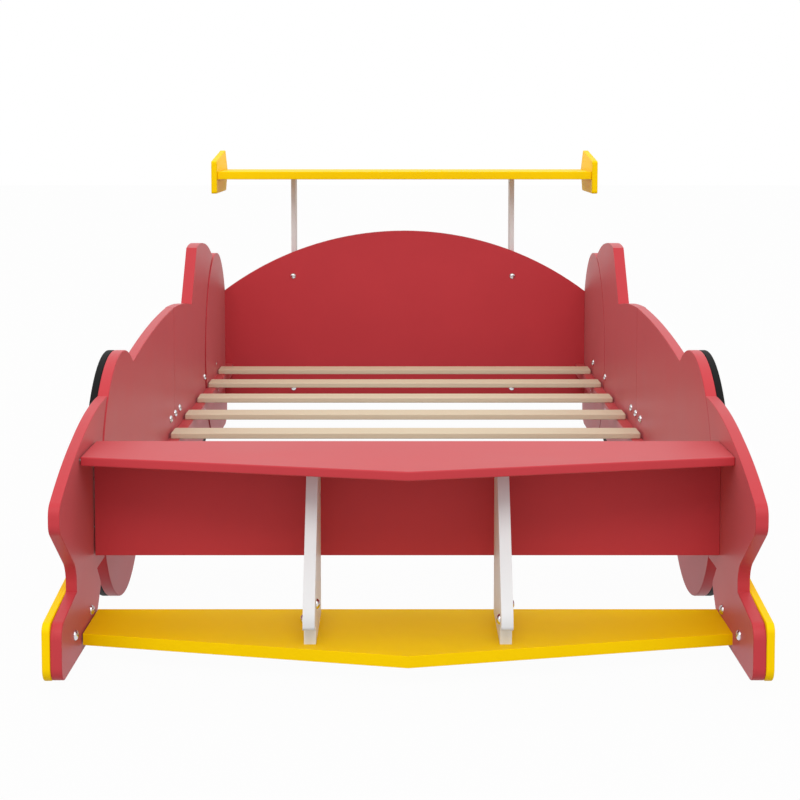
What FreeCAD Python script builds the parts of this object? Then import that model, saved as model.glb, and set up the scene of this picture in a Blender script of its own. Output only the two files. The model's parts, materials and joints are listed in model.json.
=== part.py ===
"""Car bed for children: flat painted boards bolted round a slatted mattress space.

The bed stands on its wheels.  +Z is up, +Y runs from the nose to the headboard, and the origin is
on the floor in the middle of the bed.  Inside the boards' outlines, lengths are measured backwards
from the front face of the footboard ("setback") and upwards from the floor ("height").
"""
import FreeCAD
import Part

import math
import os
from collections import namedtuple
from types import SimpleNamespace

from FreeCAD import Vector

# name, millimetres, what it is
SIZES = [
    ("bed_width", 1000, "between the inner faces of the side panels"),
    ("mattress_length", 1941, "between footboard and headboard"),
    ("panel_thick", 19, "side panels, headboard and footboard"),
    ("side_clearance", 50, "floor to the lower edge of the side panels"),
    ("nose_step", 2, "left nose panel stands back from the inner face of the side"),
    ("tail_step", 1, "left tail panel stands back from the inner face of the side"),
    # wheels
    ("wheel_radius", 215, "wheel discs and the round lobes behind the front ones"),
    ("wheel_thick", 12, "wheel discs"),
    ("front_axle_setback", 285, "footboard front face to the front wheel centre"),
    ("rear_axle_gap", 345, "rear wheel centre to the headboard's front face"),
    ("wheel_bolt_reach", 127.5, "wheel bolts in front of and behind the wheel centre"),
    ("wheel_bolt_drop", 13, "wheel bolts below the wheel centre"),
    ("hub_radius", 110, "plain disc on the middle of each wheel"),
    ("hub_thick", 9, "plain disc on the middle of each wheel"),
    # side panels
    ("seam_setback", 948, "vertical seam between front and rear side panel"),
    ("notch_height", 396, "V where the hump leaves the front lobe"),
    ("front_hump_setback", 670, "point on the front half of the hump"),
    ("front_hump_height", 424, "point on the front half of the hump"),
    ("crest_height", 434.5, "top of the hump at the seam"),
    ("rear_hump_setback", 1090, "point on the rear half of the hump"),
    ("rear_hump_height", 427.5, "point on the rear half of the hump"),
    ("fin_foot_setback", 1252, "foot of the fin"),
    ("fin_foot_height", 409, "foot of the fin"),
    ("fin_top_setback", 1358, "top corner of the fin"),
    ("fin_top_height", 534, "top corner of the fin"),
    ("fin_crown_setback", 1430, "highest point of the fin"),
    ("fin_crown_height", 539.5, "highest point of the fin"),
    ("fin_back_setback", 1495, "where the fin's back starts to fall"),
    ("fin_back_height", 535.5, "where the fin's back starts to fall"),
    ("fin_fall_setback", 1590, "point on the falling back of the fin"),
    ("fin_fall_height", 521, "point on the falling back of the fin"),
    ("fin_end_height", 488, "where the fin's back meets the tail"),
    ("fin_plate_thick", 6, "doubling plate on the outside of the fin"),
    ("fin_plate_low_setback", 1460, "where its lower edge rises over the wheel"),
    ("fin_plate_high_setback", 1500, "where its lower edge is clear of the wheel"),
    ("fin_plate_low", 440, "its lower edge over the wheel"),
    # tail panels
    ("tail_radius", 245.5, "round front and top of the tail panels"),
    ("tail_gap", 6, "between the side panels and the round front of the tail panels"),
    ("tail_overhang", 23, "tail panels behind the headboard"),
    ("tail_round", 50, "lower rear corner of the tail panels"),
    # nose panels
    ("nose_reach", 262, "tip of the nose in front of the footboard"),
    ("nose_root_height", 374, "top of the nose where it leaves the front lobe"),
    ("bonnet_setback", 27, "point on the flat part of the bonnet line"),
    ("bonnet_height", 366, "point on the flat part of the bonnet line"),
    ("bonnet_bend_reach", 82, "where the bonnet line starts to fall"),
    ("bonnet_bend_height", 343, "where the bonnet line starts to fall"),
    ("brow_reach", 178, "point on the falling bonnet line"),
    ("brow_height", 313, "point on the falling bonnet line"),
    ("tip_back", 15, "end of the bonnet line behind the tip"),
    ("tip_root_height", 283, "end of the bonnet line"),
    ("tip_top_height", 276.5, "upper corner of the nose tip"),
    ("tip_low_height", 240.5, "lower corner of the nose tip"),
    ("tip_round", 22, "both corners of the nose tip"),
    ("neck_reach", 142, "narrowest place between nose tip and foot"),
    ("neck_top_height", 155.5, "where the undercut turns down into the neck"),
    ("neck_low_height", 120, "where the neck meets the foot"),
    ("neck_round", 45, "turn of the undercut into the neck"),
    ("foot_step", 2.4, "front of the foot behind the nose tip"),
    ("foot_top_height", 101, "front corner of the foot"),
    ("foot_clearance", 16, "floor to the underside of the foot"),
    ("foot_round", 24, "front corners of the foot"),
    ("heel_low_setback", 2, "lower corner of the heel"),
    ("heel_low_round", 30, "lower corner of the heel"),
    ("heel_setback", 62, "rear point of the heel"),
    ("heel_height", 78, "rear point of the heel"),
    ("heel_round", 8, "rear point of the heel"),
    ("heel_notch_setback", 27, "inner end of the notch behind the heel"),
    ("heel_notch_height", 111, "top of the notch behind the heel"),
    ("foot_plate_height", 141, "top of the end plate at the heel"),
    ("foot_plate_front_height", 104.7, "front top corner of the end plate"),
    ("foot_plate_round", 14, "front top corner of the end plate"),
    ("foot_plate_thick", 12, "end plate on the outside of the foot"),
    # front shelves
    ("footboard_low", 139, "lower edge of the footboard"),
    ("footboard_height", 307, "upper edge of the footboard"),
    ("top_shelf_thick", 14, "shelf on top of the footboard"),
    ("shelf_side_reach", 112, "both shelves at the side panels"),
    ("shelf_point_reach", 222, "both shelves at their point"),
    ("lower_shelf_low", 28, "underside of the lower shelf"),
    ("lower_shelf_thick", 18, "lower shelf"),
    ("divider_spacing", 295.2, "between the middles of the two dividers"),
    ("divider_thick", 18, "dividers between the shelves"),
    ("divider_top_reach", 73, "front of a divider under the top shelf"),
    ("divider_toe_reach", 199, "foremost point of a divider"),
    ("divider_toe_height", 97, "where the slanting front ends above the toe"),
    ("divider_toe_low", 76, "underside of the toe"),
    ("divider_bend_round", 40, "where the slanting front ends above the toe"),
    ("divider_toe_round", 7, "lower corner of the toe"),
    ("divider_stand_reach", 165, "front of the part that stands on the lower shelf"),
    # headboard
    ("headboard_low", 70, "lower edge of the headboard"),
    ("headboard_side_height", 370, "sides of the headboard"),
    ("headboard_crown", 537.3, "middle of the headboard's arched top"),
    # spoiler
    ("wing_height", 682.8, "underside of the wing"),
    ("wing_thick", 21, "wing"),
    ("wing_depth", 250, "wing, front to back"),
    ("wing_overlap", 4, "wing runs past the inner face of each side panel"),
    ("spoiler_overhang", 148, "end plates behind the headboard's rear face"),
    ("plate_thick", 15, "end plates of the wing"),
    ("plate_lip", 10, "end plates in front of the wing"),
    ("plate_tail", 25, "rear point of the end plates behind the wing"),
    ("plate_drop", 38, "end plates below the underside of the wing"),
    ("plate_front_rise", 49, "front top corner above the underside of the wing"),
    ("plate_rear_rise", 75, "rear top corner above the underside of the wing"),
    ("plate_point_rise", 20, "rear point above the underside of the wing"),
    ("plate_top_rake", 55, "rear top corner in front of the rear point"),
    ("plate_low_rake", 42, "rear bottom corner in front of the rear point"),
    ("plate_round", 6, "corners of the end plates"),
    ("post_spacing", 606, "between the middles of the two posts"),
    ("post_offset", -4.5, "the pair of posts off the middle of the bed"),
    ("post_thick", 12, "posts between headboard and wing"),
    ("post_depth", 70, "posts between headboard and wing"),
    # mattress support
    ("slat_height", 180, "top of the slats"),
    ("slat_thick", 12, "slats"),
    ("slat_width", 65, "slats"),
    ("slat_margin", 136, "first and last slat from footboard and headboard"),
    ("slat_gap", 5, "slat end to the side panel"),
    ("rail_width", 24, "rails under the slat ends"),
    ("rail_tall", 30, "rails under the slat ends"),
    # joint plates and fixings
    ("seam_plate_length", 220, "plate over the seam, on the outside"),
    ("seam_plate_tall", 90, "plate over the seam, on the outside"),
    ("seam_plate_thick", 12, "plate over the seam, on the outside"),
    ("seam_bolt_pitch", 71, "bolts through the plate over the seam"),
    ("side_bolt_height", 204, "bolts through the plate over the seam"),
    ("nose_bolt_height", 59, "bolts through the foot and its end plate"),
    ("nose_bolt_rear", 29, "rear bolt in front of the footboard's face"),
    ("nose_bolt_front", 161, "front bolt in front of the footboard's face"),
    ("bolt_diameter", 6, "bolts"),
    ("bolt_head_diameter", 16, "domed bolt heads"),
    ("bolt_head_tall", 3, "domed bolt heads"),
    ("bolt_clearance", 0.5, "bolt hole over bolt"),
    ("bolt_cover", 3, "board left over the blind end of a bolt"),
    ("end_bolt_spacing", 200, "between the two bolts in each end of the headboard"),
    ("end_bolt_low", 50, "lower headboard bolt above the headboard's lower edge"),
    ("foot_bolt_margin", 45, "footboard bolts from its upper and lower edges"),
    ("end_bolt_bite", 42, "length of a bolt in the end of its board"),
    ("post_screw_low", 100.5, "lower screws from headboard into the posts"),
    ("post_screw_high", 412.5, "upper screws from headboard into the posts"),
    ("post_screw_diameter", 5, "screws from headboard into the posts"),
    ("post_screw_head", 16, "domed heads of the screws into the posts"),
    ("post_screw_bite", 40, "length of those screws in the posts"),
    ("cam_diameter", 15, "cam discs in the dividers"),
    ("cam_depth", 12, "cam discs in the dividers"),
    ("cam_proud", 3, "cam discs proud of the divider"),
    ("right_cam_reach", 138, "cam in the right face of each divider"),
    ("right_cam_height", 100.3, "cam in the right face of each divider"),
    ("left_cam_reach", 160, "cam in the left face of each divider"),
    ("left_cam_height", 83.4, "cam in the left face of each divider"),
]
SLATS = 8
FLATS = 8  # round fixings and their holes are drawn with this many flats
HUB_FLATS = 48
HEAD_SLOPE = 45  # degrees, sides of the domed heads

# Every board's outline starts from the footboard's front face, this far from the origin.
FRONT_FACE = ("(Sizes.nose_reach - Sizes.mattress_length - 2 * Sizes.panel_thick"
              " - Sizes.spoiler_overhang) / 2")

LEFT = -1
RIGHT = 1
SIDES = {LEFT: "l", RIGHT: "r"}

Corner = namedtuple("Corner", "across up radius", defaults=[0])
Via = namedtuple("Via", "across up")

doc = FreeCAD.newDocument("car_bed")
subparts = []


def write_sizes():
    """Puts the driving sizes in the sheet and gives them back as numbers."""
    sheet = doc.addObject("Spreadsheet::Sheet", "Sizes")
    for row, (name, value, meaning) in enumerate(SIZES, start=1):
        sheet.set(f"A{row}", str(value))
        sheet.setAlias(f"A{row}", name)
        sheet.set(f"B{row}", meaning)
    doc.recompute()
    return SimpleNamespace(**{name: float(sheet.get(name)) for name, _, _ in SIZES})


size = write_sizes()


# ---- outlines ----------------------------------------------------------------------------------

def flat(point):
    return Vector(point.across, point.up, 0)


def rounding(before, corner, after):
    """Start, middle and end of the round at a corner between two straight stretches."""
    here = flat(corner)
    back = (flat(before) - here).normalize()
    onward = (flat(after) - here).normalize()
    half = back.getAngle(onward) / 2
    reach = corner.radius / math.tan(half)
    inward = (back + onward).normalize()
    middle = here + inward * (corner.radius / math.sin(half) - corner.radius)
    return here + back * reach, middle, here + onward * reach


def outline(items):
    """Closed run of lines and arcs through corners; a Via bends its stretch through itself."""
    curves = []
    corners = [item for item in items if isinstance(item, Corner)]
    ends = []
    for index, corner in enumerate(corners):
        if corner.radius:
            after = corners[(index + 1) % len(corners)]
            start, middle, end = rounding(corners[index - 1], corner, after)
            curves.append(Part.Arc(start, middle, end))
            ends.append((start, end))
        else:
            ends.append((flat(corner), flat(corner)))
    bends = {}
    number = -1
    for item in items:
        if isinstance(item, Corner):
            number += 1
        else:
            bends[number] = flat(item)
    for index in range(len(corners)):
        start = ends[index][1]
        end = ends[(index + 1) % len(corners)][0]
        if index in bends:
            curves.append(Part.Arc(start, bends[index], end))
        else:
            curves.append(Part.LineSegment(start, end))
    return curves


def rectangle(across_low, up_low, across_high, up_high):
    return outline([
        Corner(across_low, up_low),
        Corner(across_high, up_low),
        Corner(across_high, up_high),
        Corner(across_low, up_high),
    ])


def flatted_rounds(centres, radius, flats):
    """Round sections drawn with flats."""
    curves = []
    turns = [2 * math.pi * number / flats for number in range(flats)]
    for across, up in centres:
        curves += outline([Corner(across + radius * math.cos(turn), up + radius * math.sin(turn))
                           for turn in turns])
    return curves


def small_rounds(centres, diameter):
    """Sections of fixings and of their holes."""
    return flatted_rounds(centres, diameter / 2, FLATS)


# ---- features ----------------------------------------------------------------------------------

def new_body(label, x="0", z="0"):
    """A sub-part whose own origin lies on the footboard's front face."""
    body = doc.addObject("PartDesign::Body", label)
    body.Label = label
    body.setExpression("Placement.Base.x", x)
    body.setExpression("Placement.Base.y", FRONT_FACE)
    body.setExpression("Placement.Base.z", z)
    subparts.append(body)
    return body


def sketch(body, role, curves, offset=None):
    """Draws on one of the body's origin planes, or that far (an expression) in front of it."""
    plane = next(item for item in body.Origin.OriginFeatures if item.Role == role)
    profile = body.newObject("Sketcher::SketchObject", body.Name + "_sketch")
    profile.AttachmentSupport = [(plane, "")]
    profile.MapMode = "FlatFace"
    if offset:
        profile.setExpression("AttachmentOffset.Base.z", offset)
    profile.addGeometry(curves, False)
    profile.Visibility = False
    return profile


def pad(body, role, curves, length, offset=None, backwards=False):
    feature = body.newObject("PartDesign::Pad", body.Name + "_pad")
    feature.Profile = sketch(body, role, curves, offset)
    feature.setExpression("Length", length)
    feature.Reversed = backwards
    return feature


def drill(body, role, centres, diameter):
    """Round holes right through the body, square to the plane."""
    feature = body.newObject("PartDesign::Pocket", body.Name + "_holes")
    feature.Profile = sketch(body, role, small_rounds(centres, diameter))
    feature.SideType = "Symmetric"
    feature.Type = "ThroughAll"
    return feature


def sink(body, role, centres, diameter, depth, offset=None, backwards=False):
    """Blind holes from the plane, along its normal or backwards from it."""
    feature = body.newObject("PartDesign::Pocket", body.Name + "_bores")
    feature.Profile = sketch(body, role, small_rounds(centres, diameter), offset)
    feature.setExpression("Length", depth)
    feature.Reversed = not backwards
    return feature


def side_board(label, curves, thickness, inner_face, side):
    """A board of one side: its inner face at inner_face, its thickness outwards."""
    sign = "-" if side == LEFT else ""
    body = new_body(label + "_" + SIDES[side], x=f"{sign}({inner_face})")
    pad(body, "YZ_Plane", curves, thickness, backwards=side == LEFT)
    return body


def bolts(body, role, centres, head, shank, length, offset, backwards=False):
    """Domed heads on the plane; the shanks go along its normal, or backwards from it."""
    heads = pad(body, role, small_rounds(centres, head), plus("bolt_head_tall"), offset, not backwards)
    heads.TaperAngle = -HEAD_SLOPE
    pad(body, role, small_rounds(centres, shank), length, offset, backwards)


def plus(*terms):
    """Expression that adds named sizes."""
    return " + ".join("Sizes." + term for term in terms)


# ---- places that several boards share ----------------------------------------------------------

headboard_setback = size.panel_thick + size.mattress_length
headboard_back = headboard_setback + size.panel_thick
tail_back = headboard_back + size.tail_overhang
tail_axis = tail_back - size.tail_radius
front_axle = size.front_axle_setback
rear_axle = headboard_setback - size.rear_axle_gap
half_width = size.bed_width / 2
bolt_hole = size.bolt_diameter + size.bolt_clearance

INNER_FACE = "Sizes.bed_width / 2"
OUTER_FACE = "Sizes.bed_width / 2 + Sizes.panel_thick"
DISC_FACE = "Sizes.bed_width / 2 + Sizes.panel_thick + Sizes.wheel_thick"


def signed(side, expression):
    return f"{side} * ({expression})"


def lobe_setback(height, half=LEFT):
    """Front (LEFT) or rear (RIGHT) edge of the round lobe behind a front wheel."""
    rise = height - size.wheel_radius
    return front_axle + half * math.sqrt(size.wheel_radius ** 2 - rise ** 2)


def tail_seam(height):
    """Round rear edge of the side panels, a gap in front of the tail panels."""
    rise = height - size.tail_radius
    return tail_axis - math.sqrt((size.tail_radius + size.tail_gap) ** 2 - rise ** 2)


def wheel_bolts(axle):
    height = size.wheel_radius - size.wheel_bolt_drop
    return [(axle - size.wheel_bolt_reach, height), (axle + size.wheel_bolt_reach, height)]


def seam_bolts():
    return [(size.seam_setback + step * size.seam_bolt_pitch, size.side_bolt_height)
            for step in (-1, 0, 1)]


def nose_bolts():
    return [(-size.nose_bolt_front, size.nose_bolt_height),
            (-size.nose_bolt_rear, size.nose_bolt_height)]


def headboard_bolts():
    low = size.headboard_low + size.end_bolt_low
    middle = headboard_setback + size.panel_thick / 2
    return [(middle, low), (middle, low + size.end_bolt_spacing)]


def footboard_bolts():
    middle = size.panel_thick / 2
    return [(middle, size.footboard_low + size.foot_bolt_margin),
            (middle, size.footboard_height - size.foot_bolt_margin)]


def slat_middles():
    first = size.panel_thick + size.slat_margin + size.slat_width / 2
    run = size.mattress_length - 2 * size.slat_margin - size.slat_width
    return [first + number * run / (SLATS - 1) for number in range(SLATS)]


def post_middles():
    return [size.post_offset + side * size.post_spacing / 2 for side in SIDES]


def post_screws():
    return [(across, height) for across in post_middles()
            for height in (size.post_screw_low, size.post_screw_high)]


def wing_edges():
    rear = headboard_back + size.spoiler_overhang - size.plate_tail
    return rear - size.wing_depth, rear


def divider_middles():
    return [side * size.divider_spacing / 2 for side in SIDES]


# ---- boards of the two sides -------------------------------------------------------------------

def foot_heel():
    """Heel of the foot, from the notch behind it down to the floor side."""
    return [
        Corner(size.heel_notch_setback, size.heel_notch_height),
        Corner(size.heel_setback, size.heel_height, size.heel_round),
        Corner(size.heel_low_setback, size.foot_clearance, size.heel_low_round),
    ]


def end_panel(label, curves, step, side):
    """Nose or tail panel: the left one stands back from the inner face and is thinner."""
    if side == RIGHT:
        return side_board(label, curves, plus("panel_thick"), INNER_FACE, side)
    return side_board(label, curves, f"Sizes.panel_thick - Sizes.{step}", f"{INNER_FACE} + Sizes.{step}",
                      side)


def nose_panel(side):
    foot = size.foot_step - size.nose_reach
    curves = outline([
        Corner(foot, size.foot_clearance, size.foot_round),
        Corner(foot, size.foot_top_height, size.foot_round),
        Corner(-size.neck_reach, size.neck_low_height),
        Corner(-size.neck_reach, size.neck_top_height, size.neck_round),
        Corner(-size.nose_reach, size.tip_low_height, size.tip_round),
        Corner(-size.nose_reach, size.tip_top_height, size.tip_round),
        Corner(size.tip_back - size.nose_reach, size.tip_root_height),
        Via(-size.brow_reach, size.brow_height),
        Corner(-size.bonnet_bend_reach, size.bonnet_bend_height),
        Via(size.bonnet_setback, size.bonnet_height),
        Corner(lobe_setback(size.nose_root_height), size.nose_root_height),
        Via(front_axle - size.wheel_radius, size.wheel_radius),
        Corner(lobe_setback(size.heel_notch_height), size.heel_notch_height),
    ] + foot_heel())
    body = end_panel("nose_panel", curves, "nose_step", side)
    drill(body, "YZ_Plane", nose_bolts() + footboard_bolts(), bolt_hole)


def front_side_panel(side):
    curves = outline([
        Corner(size.seam_setback, size.side_clearance),
        Corner(size.seam_setback, size.crest_height),
        Via(size.front_hump_setback, size.front_hump_height),
        Corner(lobe_setback(size.notch_height, RIGHT), size.notch_height),
        Via(front_axle - size.wheel_radius, size.wheel_radius),
        Corner(lobe_setback(size.side_clearance, RIGHT), size.side_clearance),
    ])
    body = side_board("front_side_panel", curves, plus("panel_thick"), INNER_FACE, side)
    drill(body, "YZ_Plane", wheel_bolts(front_axle) + seam_bolts(), bolt_hole)


def fin_edge():
    """Fin from where its back meets the tail over the top to the foot of its front."""
    return [
        Corner(tail_seam(size.fin_end_height), size.fin_end_height),
        Via(size.fin_fall_setback, size.fin_fall_height),
        Corner(size.fin_back_setback, size.fin_back_height),
        Via(size.fin_crown_setback, size.fin_crown_height),
        Corner(size.fin_top_setback, size.fin_top_height),
        Corner(size.fin_foot_setback, size.fin_foot_height),
    ]


def rear_side_panel(side):
    curves = outline([
        Corner(size.seam_setback, size.side_clearance),
        Corner(tail_seam(size.side_clearance), size.side_clearance),
        Via(tail_axis - size.tail_radius - size.tail_gap, size.tail_radius),
    ] + fin_edge() + [
        Via(size.rear_hump_setback, size.rear_hump_height),
        Corner(size.seam_setback, size.crest_height),
    ])
    body = side_board("rear_side_panel", curves, plus("panel_thick"), INNER_FACE, side)
    drill(body, "YZ_Plane", wheel_bolts(rear_axle)[:1] + seam_bolts(), bolt_hole)


def fin_plate(side):
    """Doubling plate that makes the fin thicker; it passes over the rear wheel."""
    curves = outline(fin_edge() + [
        Corner(size.fin_plate_low_setback, size.fin_foot_height),
        Corner(size.fin_plate_high_setback, size.fin_plate_low),
        Corner(tail_seam(size.fin_plate_low), size.fin_plate_low),
    ])
    side_board("fin_plate", curves, plus("fin_plate_thick"), OUTER_FACE, side)


def tail_panel(side):
    slope = size.tail_radius / math.sqrt(2)
    curves = outline([
        Corner(tail_axis, 0),
        Via(tail_axis - size.tail_radius, size.tail_radius),
        Corner(tail_axis, 2 * size.tail_radius),
        Via(tail_axis + slope, size.tail_radius + slope),
        Corner(tail_back, size.tail_radius),
        Corner(tail_back, 0, size.tail_round),
    ])
    body = end_panel("tail_panel", curves, "tail_step", side)
    drill(body, "YZ_Plane", wheel_bolts(rear_axle)[1:] + headboard_bolts(), bolt_hole)


def blind_bolt_holes(body, side, centres, thickness):
    """Holes from the inner face of an outside plate that leave its outer face whole."""
    sink(body, "YZ_Plane", centres, bolt_hole, f"{thickness} - Sizes.bolt_cover",
         backwards=side == LEFT)


def wheel(label, axle, side):
    disc = [Part.Circle(Vector(axle, size.wheel_radius, 0), Vector(0, 0, 1), size.wheel_radius)]
    body = side_board(label + "_wheel", disc, plus("wheel_thick"), OUTER_FACE, side)
    blind_bolt_holes(body, side, wheel_bolts(axle), plus("wheel_thick"))
    hub = flatted_rounds([(axle, size.wheel_radius)], size.hub_radius, HUB_FLATS)
    side_board(label + "_hub", hub, plus("hub_thick"), DISC_FACE, side)


def nose_end_plate(side):
    curves = outline([
        Corner(-size.nose_reach, size.foot_clearance, size.foot_round),
        Corner(-size.nose_reach, size.foot_plate_front_height, size.foot_plate_round),
        Corner(size.heel_notch_setback, size.foot_plate_height),
    ] + foot_heel())
    body = side_board("nose_end_plate", curves, plus("foot_plate_thick"), OUTER_FACE, side)
    blind_bolt_holes(body, side, nose_bolts(), plus("foot_plate_thick"))


def seam_plate(side):
    half_length = size.seam_plate_length / 2
    half_tall = size.seam_plate_tall / 2
    curves = rectangle(size.seam_setback - half_length, size.side_bolt_height - half_tall,
                       size.seam_setback + half_length, size.side_bolt_height + half_tall)
    body = side_board("seam_plate", curves, plus("seam_plate_thick"), OUTER_FACE, side)
    blind_bolt_holes(body, side, seam_bolts(), plus("seam_plate_thick"))


# ---- headboard, footboard and shelves ----------------------------------------------------------

def end_bores(body, centres, left_step="0"):
    """Bolt bores in both ends of a board; its left end may reach out to a stepped panel."""
    for side, step in ((LEFT, left_step), (RIGHT, "0")):
        sink(body, "YZ_Plane", centres, bolt_hole, f"Sizes.end_bolt_bite + {step}",
             signed(side, f"{INNER_FACE} + {step}"), backwards=side == RIGHT)


def headboard():
    left = -half_width - size.tail_step
    curves = outline([
        Corner(left, size.headboard_low),
        Corner(half_width, size.headboard_low),
        Corner(half_width, size.headboard_side_height),
        Via(0, size.headboard_crown),
        Corner(left, size.headboard_side_height),
    ])
    body = new_body("headboard")
    pad(body, "XZ_Plane", curves, plus("panel_thick"), str(-headboard_setback), backwards=True)
    end_bores(body, headboard_bolts(), "Sizes.tail_step")
    drill(body, "XZ_Plane", post_screws(), size.post_screw_diameter)


def footboard():
    curves = rectangle(-half_width, size.footboard_low, half_width, size.footboard_height)
    body = new_body("footboard")
    pad(body, "XZ_Plane", curves, plus("panel_thick"), backwards=True)
    end_bores(body, footboard_bolts())


def shelf(label, low, thickness):
    """Shelf with a straight back and a blunt V in front."""
    curves = outline([
        Corner(-half_width, size.panel_thick),
        Corner(half_width, size.panel_thick),
        Corner(half_width, -size.shelf_side_reach),
        Corner(0, -size.shelf_point_reach),
        Corner(-half_width, -size.shelf_side_reach),
    ])
    body = new_body(label, z=low)
    pad(body, "XY_Plane", curves, thickness)
    return body


def top_shelf():
    shelf("top_shelf", plus("footboard_height"), plus("top_shelf_thick"))


def lower_shelf():
    body = shelf("lower_shelf", plus("lower_shelf_low"), plus("lower_shelf_thick"))
    places = [(across, -reach) for across in divider_middles()
              for reach in (size.right_cam_reach, size.left_cam_reach)]
    drill(body, "XY_Plane", places, bolt_hole)


def shelf_divider(side):
    shelf_top = size.lower_shelf_low + size.lower_shelf_thick
    curves = outline([
        Corner(0, shelf_top),
        Corner(0, size.footboard_height),
        Corner(-size.divider_top_reach, size.footboard_height),
        Corner(-size.divider_toe_reach, size.divider_toe_height, size.divider_bend_round),
        Corner(-size.divider_toe_reach, size.divider_toe_low, size.divider_toe_round),
        Corner(-size.divider_stand_reach, size.divider_toe_low),
        Corner(-size.divider_stand_reach, shelf_top),
    ])
    body = new_body("shelf_divider_" + SIDES[side], x=f"{side} * Sizes.divider_spacing / 2")
    left_face = "-Sizes.divider_thick / 2"
    right_face = "Sizes.divider_thick / 2"
    pad(body, "YZ_Plane", curves, plus("divider_thick"), left_face)
    sink(body, "YZ_Plane", [(-size.right_cam_reach, size.right_cam_height)], size.cam_diameter,
         plus("cam_depth"), right_face, backwards=True)
    sink(body, "YZ_Plane", [(-size.left_cam_reach, size.left_cam_height)], size.cam_diameter,
         plus("cam_depth"), left_face)
    for reach, height in cam_columns():
        sink(body, "XY_Plane", [(0, -reach)], bolt_hole, str(height - shelf_top), str(shelf_top))


def cam_columns():
    """Reach and end height of the two bolts that rise through the lower shelf to the cams."""
    return [(size.right_cam_reach, size.right_cam_height), (size.left_cam_reach, size.left_cam_height)]


# ---- spoiler -----------------------------------------------------------------------------------

def spoiler_wing():
    front, rear = wing_edges()
    half = half_width + size.wing_overlap
    body = new_body("spoiler_wing", z=plus("wing_height"))
    pad(body, "XY_Plane", rectangle(-half, front, half, rear), plus("wing_thick"))


def spoiler_end_plate(side):
    front, rear = wing_edges()
    point = rear + size.plate_tail
    low = size.wing_height - size.plate_drop
    curves = outline([
        Corner(front - size.plate_lip, low, size.plate_round),
        Corner(front - size.plate_lip, size.wing_height + size.plate_front_rise, size.plate_round),
        Corner(point - size.plate_top_rake, size.wing_height + size.plate_rear_rise, size.plate_round),
        Corner(point, size.wing_height + size.plate_point_rise),
        Corner(point - size.plate_low_rake, low, size.plate_round),
    ])
    side_board("spoiler_end_plate", curves, plus("plate_thick"), INNER_FACE + " + Sizes.wing_overlap",
               side)


def spoiler_post(side):
    half = size.post_thick / 2
    body = new_body("spoiler_post_" + SIDES[side],
                    x=f"Sizes.post_offset + {side} * Sizes.post_spacing / 2", z=plus("headboard_low"))
    curves = rectangle(-half, headboard_back, half, headboard_back + size.post_depth)
    pad(body, "XY_Plane", curves, "Sizes.wing_height - Sizes.headboard_low")
    heights = (size.post_screw_low, size.post_screw_high)
    sink(body, "XZ_Plane", [(0, height - size.headboard_low) for height in heights],
         size.post_screw_diameter, plus("post_screw_bite"), str(-headboard_back), backwards=True)


# ---- mattress support --------------------------------------------------------------------------

def side_rail(side):
    """Rail that carries the slat ends and bridges the boards of its side."""
    inner = side * (half_width - size.rail_width)
    body = new_body("side_rail_" + SIDES[side],
                    z="Sizes.slat_height - Sizes.slat_thick - Sizes.rail_tall")
    curves = rectangle(inner, size.panel_thick, side * half_width, headboard_setback)
    pad(body, "XY_Plane", curves, plus("rail_tall"))


def slat(number, middle):
    half_length = half_width - size.slat_gap
    half_slat = size.slat_width / 2
    body = new_body(f"slat_{number}", z="Sizes.slat_height - Sizes.slat_thick")
    pad(body, "XY_Plane", rectangle(-half_length, middle - half_slat, half_length, middle + half_slat),
        plus("slat_thick"))


# ---- fixings -----------------------------------------------------------------------------------

def through_bolts(label, plate, places, stepped=(), step="nose_step"):
    """Domed bolts of both sides: heads on the inner faces, ends inside an outside plate.

    The stepped ones go through a nose or tail panel and stand back with it on the left.
    """
    body = new_body(label)
    length = f"Sizes.panel_thick + {plate} - Sizes.bolt_cover"
    heads = size.bolt_head_diameter
    shanks = size.bolt_diameter
    if places:
        bolts(body, "YZ_Plane", places, heads, shanks, length, signed(LEFT, INNER_FACE), backwards=True)
    if stepped:
        bolts(body, "YZ_Plane", stepped, heads, shanks, f"{length} - Sizes.{step}",
              signed(LEFT, f"{INNER_FACE} + Sizes.{step}"), backwards=True)
    bolts(body, "YZ_Plane", list(places) + list(stepped), heads, shanks, length, INNER_FACE)


def end_bolt_group(label, places):
    """Bolts from outside through the side panels into the ends of a board."""
    body = new_body(label)
    for side in SIDES:
        bolts(body, "YZ_Plane", places, size.bolt_head_diameter, size.bolt_diameter,
              plus("panel_thick", "end_bolt_bite"), signed(side, OUTER_FACE), backwards=side == RIGHT)


def divider_cams():
    body = new_body("divider_cams")
    for middle in divider_middles():
        for side, reach, height in ((RIGHT, size.right_cam_reach, size.right_cam_height),
                                    (LEFT, size.left_cam_reach, size.left_cam_height)):
            face = f"{middle} + {side} * (Sizes.divider_thick / 2 + Sizes.cam_proud)"
            pad(body, "YZ_Plane", small_rounds([(-reach, height)], size.cam_diameter),
                plus("cam_depth", "cam_proud"), face, backwards=side == RIGHT)


def divider_bolts():
    body = new_body("divider_bolts")
    for reach, height in cam_columns():
        places = [(across, -reach) for across in divider_middles()]
        length = height - size.cam_diameter / 2 - size.lower_shelf_low
        pad(body, "XY_Plane", small_rounds(places, size.bolt_diameter), str(length),
            plus("lower_shelf_low"))


def post_screw_group():
    body = new_body("spoiler_post_screws")
    bolts(body, "XZ_Plane", post_screws(), size.post_screw_head, size.post_screw_diameter,
          plus("panel_thick", "post_screw_bite"), str(-headboard_setback), backwards=True)


# ---- the whole bed -----------------------------------------------------------------------------

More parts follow.
